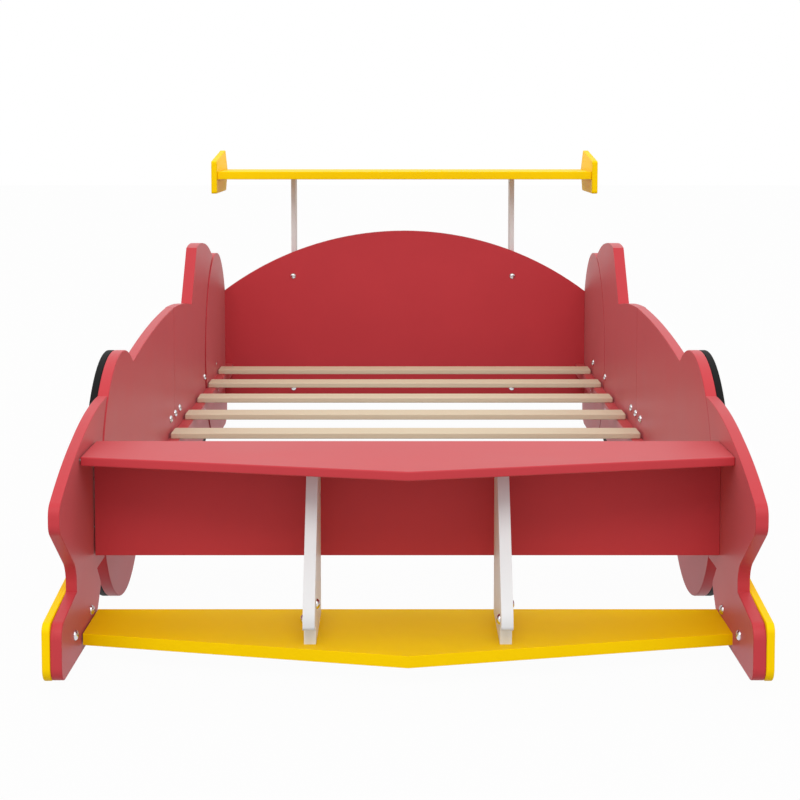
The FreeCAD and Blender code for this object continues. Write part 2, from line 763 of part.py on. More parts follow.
for side in SIDES:
    nose_panel(side)
    front_side_panel(side)
    rear_side_panel(side)
    fin_plate(side)
    tail_panel(side)
    wheel("front", front_axle, side)
    wheel("rear", rear_axle, side)
    nose_end_plate(side)
    seam_plate(side)
    shelf_divider(side)
    spoiler_end_plate(side)
    spoiler_post(side)
    side_rail(side)
headboard()
footboard()
top_shelf()
lower_shelf()
spoiler_wing()
for number, middle in enumerate(slat_middles(), start=1):
    slat(number, middle)
through_bolts("front_wheel_bolts", plus("wheel_thick"), wheel_bolts(front_axle))
through_bolts("rear_wheel_bolts", plus("wheel_thick"), wheel_bolts(rear_axle)[:1],
              stepped=wheel_bolts(rear_axle)[1:], step="tail_step")
through_bolts("seam_bolts", plus("seam_plate_thick"), seam_bolts())
through_bolts("nose_bolts", plus("foot_plate_thick"), [], stepped=nose_bolts())
end_bolt_group("headboard_bolts", headboard_bolts())
end_bolt_group("footboard_bolts", footboard_bolts())
divider_cams()
divider_bolts()
post_screw_group()
doc.recompute()

for item in doc.Objects:
    if {"Invalid", "Error"} & set(item.State):
        raise RuntimeError(f"{item.Label} failed: {item.State}")
for body in subparts:
    if body.Shape.isNull() or not body.Shape.isValid():
        raise RuntimeError(f"{body.Label} has no sound shape")

os.makedirs("parts", exist_ok=True)
for body in subparts:
    body.Shape.exportStep(f"parts/{body.Label}.step")
print(len(subparts), "sub-parts")
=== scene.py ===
"""Looks of a car bed for children: faced and lacquered boards, pine slats, zinc fixings."""
import json
import math
from collections import namedtuple

import bmesh
import bpy
from mathutils import Matrix, Vector


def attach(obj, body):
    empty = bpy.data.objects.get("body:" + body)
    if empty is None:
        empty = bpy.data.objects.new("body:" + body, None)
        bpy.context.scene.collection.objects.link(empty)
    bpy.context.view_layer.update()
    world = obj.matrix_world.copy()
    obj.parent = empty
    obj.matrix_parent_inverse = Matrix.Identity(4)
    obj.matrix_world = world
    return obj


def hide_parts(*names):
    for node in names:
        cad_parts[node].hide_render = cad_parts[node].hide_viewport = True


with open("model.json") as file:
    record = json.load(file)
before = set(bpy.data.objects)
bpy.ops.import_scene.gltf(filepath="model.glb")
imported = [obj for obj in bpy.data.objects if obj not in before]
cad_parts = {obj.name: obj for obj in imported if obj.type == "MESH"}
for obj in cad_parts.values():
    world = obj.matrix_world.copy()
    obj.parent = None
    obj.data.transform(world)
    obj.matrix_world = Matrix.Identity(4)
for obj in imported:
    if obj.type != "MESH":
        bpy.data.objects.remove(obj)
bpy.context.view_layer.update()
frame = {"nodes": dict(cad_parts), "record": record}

bl_info = {
    "name": "Car bed for children",
    "version": (1, 0, 0),
    "blender": (4, 5, 0),
    "location": "3D View > Sidebar > Car bed",
    "description": "Finishes the boards, slats and fixings of a car bed and lights it in a studio",
    "category": "Object",
}

MM = 0.001
BODY = "root"
SLATS = [name for name in frame["nodes"] if name.startswith("slat_")]
SLOT_OF = {entry["node"]: entry["material_slot"] for entry in frame["record"]["subparts"]}

MERGE_DISTANCE = 0.01 * MM
FLAT_ANGLE = math.radians(0.5)       # faces that meet at less are one flat face
TRIM_ANGLE = math.radians(50)        # edges that turn by more are trimmed round
SHARP_ANGLE = math.radians(35)       # edges that turn by more stay sharp in the light
HEAD_SHARP_ANGLE = math.radians(30)  # the same for bolt and screw heads
EASE_STEPS = 3

HEXAGON = 6
SQUARE = 4
FULL_DOME = 1.0
FLAT_TOP = 0.4
SCREWS_PER_RAIL = 7
SCREWS_PER_WING_END = 2

# patterns of the finishes: how many lie in a metre before they are stretched
CLOUDS_PER_METRE = 6.0
SKIN_GRAINS_PER_METRE = 400.0
FIBRES_PER_METRE = 240.0
PATCHES_PER_METRE = 3.0
TUMBLE_MARKS_PER_METRE = 900.0
GRAIN_LINE_SCALE = 22.0              # of the wave, which puts a line every 14 mm

# depths of the finishes, in millimetres
SKIN_DEPTH = 0.2
FIBRE_DEPTH = 0.3

# levels of the finishes
CLOUD_LEVELS = (0.93, 1.05)          # darkest and lightest of the printed paper
GLOSS_LEVELS = (-0.04, 0.05)         # least and most that is added to a board's roughness
FIBRE_LEVELS = (0.86, 1.06)          # darkest and lightest of the pale wood
GRAIN_STRENGTH = 0.55

# studio, in metres
FRONT_LIGHT = Vector((0, -7.3, 7.1))
FRONT_LIGHT_AIM = Vector((0, 0, 0.3))
FRONT_LIGHT_WIDTH = 4.6
TOP_LIGHT = Vector((0, 0.4, 3.2))
TOP_LIGHT_AIM = Vector((0, 0.2, 0))
TOP_LIGHT_WIDTH = 3.0
FLOOR_HALF_WIDTH = 20
FLOOR_WHITE_SHARE = 0.97             # what is left of the floor keeps the bed's shadow
SENSOR_WIDTH = 36                    # millimetres


def linear(code):
    """Linear RGBA of an sRGB colour written as #rrggbb."""
    channels = [int(code[place:place + 2], 16) / 255 for place in (1, 3, 5)]
    curve = [c / 12.92 if c <= 0.04045 else ((c + 0.055) / 1.055) ** 2.4 for c in channels]
    return (*curve, 1.0)


# ---- what a user would change ------------------------------------------------------------------

def colour(name, description, code):
    return bpy.props.FloatVectorProperty(
        name=name, description=description, subtype="COLOR", size=4, min=0, max=1,
        default=linear(code))


def millimetres(name, description, default):
    return bpy.props.FloatProperty(
        name=name, description=description, default=default * MM, min=0, unit="LENGTH",
        precision=4)


def metres(name, description, default):
    return bpy.props.FloatProperty(
        name=name, description=description, default=default, unit="LENGTH", precision=4)


def number(name, description, default):
    return bpy.props.FloatProperty(name=name, description=description, default=default)


class CarBedColours(bpy.types.PropertyGroup):
    red: colour("Red boards", "Laminate of the panels, headboard and top shelf", "#c43d44")
    yellow: colour("Yellow boards", "Laminate of the wing, its end plates and the lower shelf",
                   "#ffd300")
    white: colour("White boards", "Laminate of the shelf dividers, the posts and the hubs",
                  "#e2e2e2")
    black: colour("Black boards", "Lacquer of the wheel discs", "#0e0e0f")
    pine: colour("Pine", "Pale wood between the grain lines of the slats", "#ddd0b4")
    pine_grain: colour("Pine grain", "Dark wood of the grain lines of the slats", "#c2a27d")
    zinc: colour("Zinc", "Plated bolts and screws, and the cams", "#d9dbde")
    floor: colour("Floor", "Studio floor, as the bed sees it", "#b4b4b4")


class CarBedSizes(bpy.types.PropertyGroup):
    board_ease: millimetres("Board edges", "Rounding of the boards' edges", 2)
    tail_lip: millimetres("Tail lip", "Left tail panel drawn further in than its solid", 3.5)
    slat_ease: millimetres("Slat edges", "Rounding of the slats' edges", 2)
    bolt_head: millimetres("Bolt heads", "Diameter of the domed bolt heads", 16)
    bolt_rise: millimetres("Bolt head height", "Height of the domed bolt heads", 5.5)
    bolt_seat: millimetres("Bolt head seat", "Height of the plain heads that the domes stand for",
                           3)
    bolt_shank: millimetres("Bolt shanks", "Diameter of the bolts", 6)
    bolt_drive: millimetres("Bolt sockets", "Width of the sockets in the bolt heads", 5)
    screw_head: millimetres("Screw heads", "Diameter of the flat screw heads", 8)
    screw_rise: millimetres("Screw head height", "Height of the flat screw heads", 0.5)
    screw_shank: millimetres("Screw shanks", "Diameter of the wood screws", 4)
    screw_drive: millimetres("Screw drives", "Width of the drives in the screw heads", 3)
    cam_width: millimetres("Cams", "Diameter of the cams in the dividers", 15)
    screw_length: millimetres("Screw length", "Length of the wood screws", 35)
    screw_inset: millimetres("Screw inset", "Outermost screws from the ends of their joint", 60)


class CarBedStudio(bpy.types.PropertyGroup):
    camera_x: millimetres("Camera across", "Camera off the middle of the bed", 11.9)
    camera_y: metres("Camera back", "Camera in front of the bed's middle", 3.5453)
    camera_z: metres("Camera height", "Camera above the floor", 0.8231)
    camera_pitch: number("Camera pitch", "Camera below the level, in degrees", 4.168)
    lens: number("Lens", "Focal length in millimetres", 74.62)
    shift: number("Shift", "Vertical shift that the photograph's framing needs", -0.19)
    key: number("Key light", "Power of the large front light in watts", 280)
    top: number("Top light", "Power of the light over the bed in watts", 10)
    ambient: number("Ambient", "Level of the white surroundings", 0.95)


def colours():
    return bpy.context.scene.car_bed_colours


def sizes():
    return bpy.context.scene.car_bed_sizes


def studio():
    return bpy.context.scene.car_bed_studio


# ---- materials ---------------------------------------------------------------------------------

def add(tree, kind, values=None, links=None, **settings):
    """Adds one node with its settings, its sockets' values and the links into it."""
    node = tree.nodes.new(kind)
    for name, value in settings.items():
        setattr(node, name, value)
    for socket, value in (values or {}).items():
        node.inputs[socket].default_value = value
    for socket, source in (links or {}).items():
        tree.links.new(source, node.inputs[socket])
    return node


def blank_material(name):
    material = bpy.data.materials.new(name)
    material.use_nodes = True
    material.node_tree.nodes.clear()
    return material, material.node_tree


def object_place(tree, scale=(1, 1, 1), offset=(0, 0, 0)):
    """Object coordinates, stretched and moved."""
    place = add(tree, "ShaderNodeTexCoord").outputs["Object"]
    return add(tree, "ShaderNodeMapping", {"Scale": scale, "Location": offset},
               {"Vector": place}).outputs["Vector"]


def finish_surface(tree, shader):
    add(tree, "ShaderNodeOutputMaterial", links={"Surface": shader.outputs["BSDF"]})


def mix_colours(tree, factor, first, second):
    """Mixes two colours, each a plain value or a socket."""
    mix = add(tree, "ShaderNodeMix", data_type="RGBA")
    tree.links.new(factor, mix.inputs["Factor"])
    for socket, value in ((mix.inputs[6], first), (mix.inputs[7], second)):
        if isinstance(value, bpy.types.NodeSocket):
            tree.links.new(value, socket)
        else:
            socket.default_value = value
    return mix.outputs[2]


def shaded(code, level):
    """The colour at a level of its light."""
    return (code[0] * level, code[1] * level, code[2] * level, 1.0)


def melamine_board(name, face, roughness, veil, ior=1.25):
    """Melamine-faced fibreboard: pressed paper under clear resin, with matching edge bands.

    The press leaves a fine pebbled skin that breaks reflections softly. Seen along the board it
    scatters a pale veil over the colour. The printed paper is slightly cloudy at a hand's length.
    The resin's usual IOR of 1.5 is matched down to the bed, whose boards show little gloss.
    """
    material, tree = blank_material(name)
    place = object_place(tree)
    clouds = add(tree, "ShaderNodeTexNoise",
                 {"Scale": CLOUDS_PER_METRE, "Detail": 3.0, "Roughness": 0.55},
                 {"Vector": place})
    face_colour = mix_colours(tree, clouds.outputs["Fac"],
                              *[shaded(face, level) for level in CLOUD_LEVELS])
    skin = add(tree, "ShaderNodeTexNoise", {"Scale": SKIN_GRAINS_PER_METRE, "Detail": 2.0},
               {"Vector": place})
    bump = add(tree, "ShaderNodeBump", {"Strength": 0.12, "Distance": SKIN_DEPTH * MM},
               {"Height": skin.outputs["Fac"]})
    gloss = add(tree, "ShaderNodeMapRange",
                {"To Min": roughness + GLOSS_LEVELS[0], "To Max": roughness + GLOSS_LEVELS[1]},
                {"Value": clouds.outputs["Fac"]})
    shader = add(tree, "ShaderNodeBsdfPrincipled",
                 {"IOR": ior, "Sheen Weight": veil, "Sheen Roughness": 0.35},
                 {"Base Color": face_colour, "Roughness": gloss.outputs["Result"],
                  "Normal": bump.outputs["Normal"]})
    finish_surface(tree, shader)
    return material


def pine_slat(name, pale, grain):
    """Planed pine: dark latewood lines that wander a little, and fade in patches to pale fibres."""
    material, tree = blank_material(name)
    # the grain runs along X, so every pattern is drawn out that way
    patches = add(tree, "ShaderNodeTexNoise", {"Scale": PATCHES_PER_METRE, "Detail": 2.0},
                  {"Vector": object_place(tree, (1, 4, 4))})
    rings = add(tree, "ShaderNodeTexWave",
                {"Scale": GRAIN_LINE_SCALE, "Distortion": 3.5, "Detail": 2.0,
                 "Detail Scale": 0.6, "Detail Roughness": 0.5},
                {"Vector": object_place(tree, (0.06, 1, 2.4), (0, 0.013, 0))},
                wave_type="BANDS", bands_direction="Y", wave_profile="SAW")
    fibres = add(tree, "ShaderNodeTexNoise",
                 {"Scale": FIBRES_PER_METRE, "Detail": 4.0, "Roughness": 0.6},
                 {"Vector": object_place(tree, (0.03, 1, 1))})
    lines = add(tree, "ShaderNodeMath", {1: 3.0}, {0: rings.outputs["Fac"]}, operation="POWER")
    amount = add(tree, "ShaderNodeMath", {1: GRAIN_STRENGTH}, {0: lines.outputs["Value"]},
                 operation="MULTIPLY")
    wood = mix_colours(tree, amount.outputs["Value"], pale, grain)
    speckle = mix_colours(tree, fibres.outputs["Fac"],
                          *[shaded(pale, level) for level in FIBRE_LEVELS])
    blend = add(tree, "ShaderNodeMapRange", {"To Min": 0.25, "To Max": 0.6},
                {"Value": patches.outputs["Fac"]})
    base = mix_colours(tree, blend.outputs["Result"], wood, speckle)
    bump = add(tree, "ShaderNodeBump", {"Strength": 0.25, "Distance": FIBRE_DEPTH * MM},
               {"Height": fibres.outputs["Fac"]})
    shader = add(tree, "ShaderNodeBsdfPrincipled", {"Roughness": 0.6, "IOR": 1.45},
                 {"Base Color": base, "Normal": bump.outputs["Normal"]})
    finish_surface(tree, shader)
    return material


def zinc_plate(name, tint):
    """Zinc-plated steel: bluish grey, dulled by handling, with fine tumbling marks."""
    material, tree = blank_material(name)
    marks = add(tree, "ShaderNodeTexNoise", {"Scale": TUMBLE_MARKS_PER_METRE, "Detail": 3.0},
                {"Vector": object_place(tree)})
    rough = add(tree, "ShaderNodeMapRange", {"To Min": 0.18, "To Max": 0.32},
                {"Value": marks.outputs["Fac"]})
    shader = add(tree, "ShaderNodeBsdfPrincipled", {"Metallic": 1.0, "Base Color": tint},
                 {"Roughness": rough.outputs["Result"]})
    finish_surface(tree, shader)
    return material


MATERIALS = {}


def material(slot):
    """The finish of a material slot of the record, made once."""
    if slot not in MATERIALS:
        face = colours()
        makers = {
            "red_board": lambda: melamine_board("red melamine board", face.red,
                                                roughness=0.42, veil=0.12),
            "yellow_board": lambda: melamine_board("yellow melamine board", face.yellow,
                                                   roughness=0.46, veil=0.0, ior=1.15),
            "white_board": lambda: melamine_board("white melamine board", face.white,
                                                  roughness=0.44, veil=0.12),
            # lacquered instead of faced: dull, with no veil
            "black_board": lambda: melamine_board("black lacquered board", face.black,
                                                  roughness=0.65, veil=0.0),
            "slat_wood": lambda: pine_slat("planed pine", face.pine, face.pine_grain),
            "zinc_steel": lambda: zinc_plate("zinc-plated steel", face.zinc),
        }
        MATERIALS[slot] = makers[slot]()
    return MATERIALS[slot]


# ---- pieces made from the frame's nodes --------------------------------------------------------

def settle(piece, slot, *nodes):
    """Gives a piece its finish and its body, and hides the nodes that it stands for."""
    piece.data.materials.clear()
    piece.data.materials.append(material(slot))
    if nodes:
        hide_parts(*nodes)
    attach(piece, BODY)
    return piece


def new_piece(name, mesh):
    piece = bpy.data.objects.new(name, mesh)
    bpy.context.scene.collection.objects.link(piece)
    return piece


def merged_shape(node):
    """The node's surface with its triangles joined and its flat faces whole."""
    source = frame["nodes"][node].data
    shape = bmesh.new()
    vertices = [shape.verts.new(vertex.co) for vertex in source.vertices]
    for polygon in source.polygons:
        shape.faces.new([vertices[index] for index in polygon.vertices])
    flatten(shape)
    return shape


def flatten(shape):
    """Joins loose triangles, and those of a flat face into one face."""
    bmesh.ops.remove_doubles(shape, verts=shape.verts, dist=MERGE_DISTANCE)
    bmesh.ops.dissolve_limit(shape, angle_limit=FLAT_ANGLE, verts=shape.verts, edges=shape.edges)


def glued_shape(nodes):
    """One surface round boards that are glued face to face."""
    holders = []
    for node in nodes:
        shape = merged_shape(node)
        mesh = bpy.data.meshes.new(node)
        shape.to_mesh(mesh)
        shape.free()
        holders.append(new_piece(node + "_glued", mesh))
    for other in holders[1:]:
        union = holders[0].modifiers.new("glue", "BOOLEAN")
        union.operation = "UNION"
        union.solver = "EXACT"
        union.object = other
    bpy.context.view_layer.update()
    ready = holders[0].evaluated_get(bpy.context.evaluated_depsgraph_get())
    shape = bmesh.new()
    shape.from_mesh(ready.data)
    for holder in holders:
        bpy.data.objects.remove(holder)
    flatten(shape)
    return shape


def eased_board(ease, *nodes):
    """A board, or boards glued to one, with the cut edges trimmed round as edge bands are."""
    shape = merged_shape(nodes[0]) if len(nodes) == 1 else glued_shape(nodes)
    crisp = [edge for edge in shape.edges
             if edge.is_convex and edge.calc_face_angle(0) > TRIM_ANGLE]
    bmesh.ops.bevel(shape, geom=crisp, offset=ease, segments=EASE_STEPS, profile=0.5,
                    affect="EDGES", clamp_overlap=True)
    name = nodes[0] + "_board"
    mesh = bpy.data.meshes.new(name)
    shape.to_mesh(mesh)
    shape.free()
    mesh.polygons.foreach_set("use_smooth", [True] * len(mesh.polygons))
    mesh.set_sharp_from_angle(angle=SHARP_ANGLE)
    piece = new_piece(name, mesh)
    normals = piece.modifiers.new("flat faces", "WEIGHTED_NORMAL")
    normals.keep_sharp = True
    return settle(piece, SLOT_OF[nodes[0]], *nodes)


def islands(node):
    """Lowest and highest corner of each separate solid of a node."""
    shape = merged_shape(node)
    left = set(shape.verts)
    boxes = []
    while left:
        front = [left.pop()]
        found = []
        while front:
            vertex = front.pop()
            found.append(vertex.co.copy())
            for edge in vertex.link_edges:
                other = edge.other_vert(vertex)
                if other in left:
                    left.remove(other)
                    front.append(other)
        low = Vector([min(co[axis] for co in found) for axis in range(3)])
        high = Vector([max(co[axis] for co in found) for axis in range(3)])
        boxes.append((low, high))
    shape.free()
    return boxes


# ---- fixings, by geometry nodes ----------------------------------------------------------------

def pressed_ball(tree, given):
    """Head: a ball pressed to the head's height, with a flat top where its fullness is low."""
    ball = add(tree, "GeometryNodeMeshUVSphere", {"Segments": 32, "Rings": 16, "Radius": 1.0})
    place = add(tree, "ShaderNodeSeparateXYZ",
                links={"Vector": add(tree, "GeometryNodeInputPosition").outputs["Position"]})
    height = add(tree, "ShaderNodeMath", links={0: place.outputs["Z"]}, operation="ABSOLUTE")
    pressed = add(tree, "ShaderNodeMath", links={0: height.outputs[0], 1: given["Head Fullness"]},
                  operation="POWER")
    side = add(tree, "ShaderNodeMath", links={0: place.outputs["Z"]}, operation="SIGN")
    level = add(tree, "ShaderNodeMath", links={0: pressed.outputs[0], 1: side.outputs[0]},
                operation="MULTIPLY")
    tall = add(tree, "ShaderNodeMath", links={0: level.outputs[0], 1: given["Head Height"]},
               operation="MULTIPLY")
    half = add(tree, "ShaderNodeMath", {1: 0.5}, {0: given["Head Diameter"]}, operation="MULTIPLY")
    across = add(tree, "ShaderNodeMath", links={0: place.outputs["X"], 1: half.outputs[0]},
                 operation="MULTIPLY")
    along = add(tree, "ShaderNodeMath", links={0: place.outputs["Y"], 1: half.outputs[0]},
                operation="MULTIPLY")
    spot = add(tree, "ShaderNodeCombineXYZ",
               links={"X": across.outputs[0], "Y": along.outputs[0], "Z": tall.outputs[0]})
    head = add(tree, "GeometryNodeSetPosition",
               links={"Geometry": ball.outputs["Mesh"], "Position": spot.outputs["Vector"]})
    return head.outputs["Geometry"]


def with_drive(tree, given, head):
    """The head with a prism cut half way into it, smooth but for the prism's edges."""
    radius = add(tree, "ShaderNodeMath", {1: 0.5}, {0: given["Drive Width"]}, operation="MULTIPLY")
    prism = add(tree, "GeometryNodeMeshCylinder",
                links={"Vertices": given["Drive Sides"], "Radius": radius.outputs[0],
                       "Depth": given["Head Height"]})
    lift = add(tree, "ShaderNodeCombineXYZ", links={"Z": given["Head Height"]})
    cutter = add(tree, "GeometryNodeTransform",
                 links={"Geometry": prism.outputs["Mesh"], "Translation": lift.outputs["Vector"]})
    cut = add(tree, "GeometryNodeMeshBoolean", operation="DIFFERENCE",
              links={"Mesh 1": head, "Mesh 2": cutter.outputs["Geometry"]})
    edge = add(tree, "GeometryNodeInputMeshEdgeAngle")
    gentle = add(tree, "FunctionNodeCompare", {"B": HEAD_SHARP_ANGLE},
                 {"A": edge.outputs["Unsigned Angle"]}, data_type="FLOAT", operation="LESS_THAN")
    smooth = add(tree, "GeometryNodeSetShadeSmooth",
                 links={"Geometry": cut.outputs["Mesh"], "Shade Smooth": gentle.outputs["Result"]},
                 domain="EDGE")
    return smooth.outputs["Geometry"]


def fixing_tree():
    """Heads and shanks set on points, each turned to face along the points' facing."""
    tree = bpy.data.node_groups.new("fixings", "GeometryNodeTree")
    tree.interface.new_socket("Places", in_out="INPUT", socket_type="NodeSocketGeometry")
    for name in ("Head Diameter", "Head Height", "Head Fullness", "Drive Width", "Drive Sides",
                 "Shank Diameter"):
        tree.interface.new_socket(name, in_out="INPUT", socket_type="NodeSocketFloat")
    tree.interface.new_socket("Finish", in_out="INPUT", socket_type="NodeSocketMaterial")
    tree.interface.new_socket("Fixings", in_out="OUTPUT", socket_type="NodeSocketGeometry")
    given = add(tree, "NodeGroupInput").outputs
    head = with_drive(tree, given, pressed_ball(tree, given))

    # shank: one long and one wide, with its top at the point, then as long as each point says
    stem = add(tree, "GeometryNodeMeshCylinder", {"Vertices": 24, "Depth": 1.0, "Radius": 0.5})
    length = add(tree, "GeometryNodeInputNamedAttribute", {"Name": "length"}, data_type="FLOAT")
    stretch = add(tree, "ShaderNodeCombineXYZ",
                  links={"X": given["Shank Diameter"], "Y": given["Shank Diameter"],
                         "Z": length.outputs["Attribute"]})
    down = add(tree, "GeometryNodeTransform", {"Translation": (0, 0, -0.5)},
               {"Geometry": stem.outputs["Mesh"]})

    facing = add(tree, "GeometryNodeInputNamedAttribute", {"Name": "facing"},
                 data_type="FLOAT_VECTOR")
    turn = add(tree, "FunctionNodeAlignRotationToVector",
               links={"Vector": facing.outputs["Attribute"]}, axis="Z")
    heads = add(tree, "GeometryNodeInstanceOnPoints",
                links={"Points": given["Places"], "Instance": head,
                       "Rotation": turn.outputs["Rotation"]})
    shanks = add(tree, "GeometryNodeInstanceOnPoints",
                 links={"Points": given["Places"], "Instance": down.outputs["Geometry"],
                        "Rotation": turn.outputs["Rotation"], "Scale": stretch.outputs["Vector"]})
    both = add(tree, "GeometryNodeJoinGeometry")
    tree.links.new(heads.outputs["Instances"], both.inputs["Geometry"])
    tree.links.new(shanks.outputs["Instances"], both.inputs["Geometry"])
    real = add(tree, "GeometryNodeRealizeInstances", links={"Geometry": both.outputs["Geometry"]})
    painted = add(tree, "GeometryNodeSetMaterial",
                  links={"Geometry": real.outputs["Geometry"], "Material": given["Finish"]})
    add(tree, "NodeGroupOutput", links={"Fixings": painted.outputs["Geometry"]})
    return tree


Head = namedtuple("Head", "width height fullness drive_width drive_sides")


def domed_head():
    """Dome with a hexagon socket."""
    size = sizes()
    return Head(size.bolt_head, size.bolt_rise, FULL_DOME, size.bolt_drive, HEXAGON)


def flat_head():
    """Flat head with a square drive."""
    size = sizes()
    return Head(size.screw_head, size.screw_rise, FLAT_TOP, size.screw_drive, SQUARE)


def set_input(modifier, name, value):
    """Sets a modifier's input, which is known by its identifier."""
    sockets = modifier.node_group.interface.items_tree
    socket = next(item for item in sockets if item.name == name and item.in_out == "INPUT")
    modifier[socket.identifier] = value


def fixings(name, nodes, facing_of, head, shank, proud=0.0):
    """One piece that stands for the solids of like fixings.

    facing_of gives the way that a solid's head faces, proud how far its plain head stands out.
    """
    spots = []
    for node in nodes:
        for low, high in islands(node):
            middle = (low + high) / 2
            facing = facing_of(middle)
            reach = abs((high - low).dot(facing)) / 2
            spots.append((middle + facing * (reach - proud), facing, 2 * reach - proud))
    return placed_fixings(name, spots, head, shank, SLOT_OF[nodes[0]], nodes)


def placed_fixings(name, spots, head, shank, slot, nodes=()):
    """One piece for like fixings at spots: a head's place, the way it faces, its shank's length."""
    mesh = bpy.data.meshes.new(name)
    mesh.from_pydata([place for place, _, _ in spots], [], [])
    mesh.attributes.new("facing", "FLOAT_VECTOR", "POINT")
    mesh.attributes.new("length", "FLOAT", "POINT")
    for index, (_, facing, length) in enumerate(spots):
        mesh.attributes["facing"].data[index].vector = facing
        mesh.attributes["length"].data[index].value = length
    holder = new_piece(name + "_places", mesh)
    modifier = holder.modifiers.new("fixings", "NODES")
    modifier.node_group = bpy.data.node_groups.get("fixings") or fixing_tree()
    inputs = {"Head Diameter": head.width, "Head Height": head.height,
              "Head Fullness": head.fullness, "Drive Width": head.drive_width,
              "Drive Sides": head.drive_sides, "Shank Diameter": shank, "Finish": material(slot)}
    for socket, value in inputs.items():
        set_input(modifier, socket, value)
    bpy.context.view_layer.update()
    ready = holder.evaluated_get(bpy.context.evaluated_depsgraph_get())
    piece = new_piece(name, bpy.data.meshes.new_from_object(ready))
    bpy.data.objects.remove(holder)
    return settle(piece, slot, *nodes)


def inwards(middle):
    return Vector((-1 if middle.x > 0 else 1, 0, 0))


def outwards(middle):
    return -inwards(middle)


def forwards(middle):
    return Vector((0, -1, 0))


def downwards(middle):
    return Vector((0, 0, -1))


def off_divider(middle):
    """Away from the divider that a cam sits in, to the side on which it stands out."""
    dividers = [sum(box_of(node), Vector()) / 2 for node in pair("shelf_divider")]
    divider = min(dividers, key=lambda centre: abs(centre.x - middle.x))
    return Vector((1 if middle.x > divider.x else -1, 0, 0))


def box_of(node):
    """Lowest and highest corner of a node."""
    corners = [vertex.co for vertex in frame["nodes"][node].data.vertices]
    return (Vector([min(co[axis] for co in corners) for axis in range(3)]),
            Vector([max(co[axis] for co in corners) for axis in range(3)]))


# ---- operators ---------------------------------------------------------------------------------

def pair(*names):
    return [name + side for name in names for side in ("_l", "_r")]


class CARBED_OT_side_boards(bpy.types.Operator):
    """Red side boards from nose to tail, the plates over their seams, and the slats' rails"""
    bl_idname = "car_bed.side_boards"
    bl_label = "Side boards"

    def execute(self, context):
        for node in pair("nose_panel", "front_side_panel", "tail_panel", "seam_plate", "side_rail"):
            eased_board(sizes().board_ease, node)
        for panel, plate in zip(pair("rear_side_panel"), pair("fin_plate")):
            eased_board(sizes().board_ease, panel, plate)
        # the left tail stands further in, so that its front edge shows as a dark line
        left_tail = bpy.data.objects["tail_panel_l_board"]
        left_tail.data.transform(Matrix.Translation((sizes().tail_lip, 0, 0)))
        return {"FINISHED"}


class CARBED_OT_cross_boards(bpy.types.Operator):
    """Headboard, footboard, both front shelves and their dividers"""
    bl_idname = "car_bed.cross_boards"
    bl_label = "Cross boards"

    def execute(self, context):
        for node in ["headboard", "footboard", "top_shelf", "lower_shelf"] + pair("shelf_divider"):
            eased_board(sizes().board_ease, node)
        return {"FINISHED"}


class CARBED_OT_spoiler(bpy.types.Operator):
    """Wing behind the headboard, with its end plates and posts"""
    bl_idname = "car_bed.spoiler"
    bl_label = "Spoiler"

    def execute(self, context):
        for node in ["spoiler_wing"] + pair("spoiler_end_plate", "spoiler_post"):
            eased_board(sizes().board_ease, node)
        return {"FINISHED"}


class CARBED_OT_wheels(bpy.types.Operator):
    """Wheel discs, their hubs, and the end plates of the nose"""
    bl_idname = "car_bed.wheels"
    bl_label = "Wheels"

    def execute(self, context):
        for node in pair("front_wheel", "rear_wheel", "front_hub", "rear_hub", "nose_end_plate"):
            eased_board(sizes().board_ease, node)
        return {"FINISHED"}


class CARBED_OT_slats(bpy.types.Operator):
    """Pine slats with rounded edges"""
    bl_idname = "car_bed.slats"
    bl_label = "Slats"

    def execute(self, context):
        for node in SLATS:
            eased_board(sizes().slat_ease, node)
        return {"FINISHED"}


class CARBED_OT_bolts(bpy.types.Operator):
    """Domed bolts with hexagon sockets, the cams, and the flat bolts under the lower shelf"""
    bl_idname = "car_bed.bolts"
    bl_label = "Bolts"

    def execute(self, context):
        size = sizes()
        inner = ["front_wheel_bolts", "rear_wheel_bolts", "seam_bolts", "nose_bolts"]
        outer = ["headboard_bolts", "footboard_bolts"]
        domed = (("inner_bolts", inner, inwards, size.bolt_shank),
                 ("outer_bolts", outer, outwards, size.bolt_shank),
                 ("post_bolts", ["spoiler_post_screws"], forwards, size.bolt_shank),
                 ("cams", ["divider_cams"], off_divider, size.cam_width))
        for name, nodes, facing_of, shank in domed:
            fixings(name, nodes, facing_of, domed_head(), shank, proud=size.bolt_seat)
        fixings("shelf_bolts", ["divider_bolts"], downwards, flat_head(), size.bolt_shank)
        return {"FINISHED"}


def spread(low, high, count):
    """Even steps between two ends."""
    return [low + (high - low) * step / (count - 1) for step in range(count)]


def rail_spots():
    """Along the inner faces of the rails, into the side boards."""
    spots = []
    for node in pair("side_rail"):
        low, high = box_of(node)
        face = high.x if high.x < 0 else low.x
        facing = inwards(Vector((face, 0, 0)))
        spots += [(Vector((face, along, (low.z + high.z) / 2)), facing)
                  for along in spread(low.y + sizes().screw_inset, high.y - sizes().screw_inset,
                                      SCREWS_PER_RAIL)]
    return spots


def slat_spots():
    """Up through the rails into the ends of the slats."""
    spots = []
    for node in SLATS:
        low, high = box_of(node)
        for rail in pair("side_rail"):
            rail_low, rail_high = box_of(rail)
            place = ((rail_low.x + rail_high.x) / 2, (low.y + high.y) / 2, rail_low.z)
            spots.append((Vector(place), downwards(low)))
    return spots


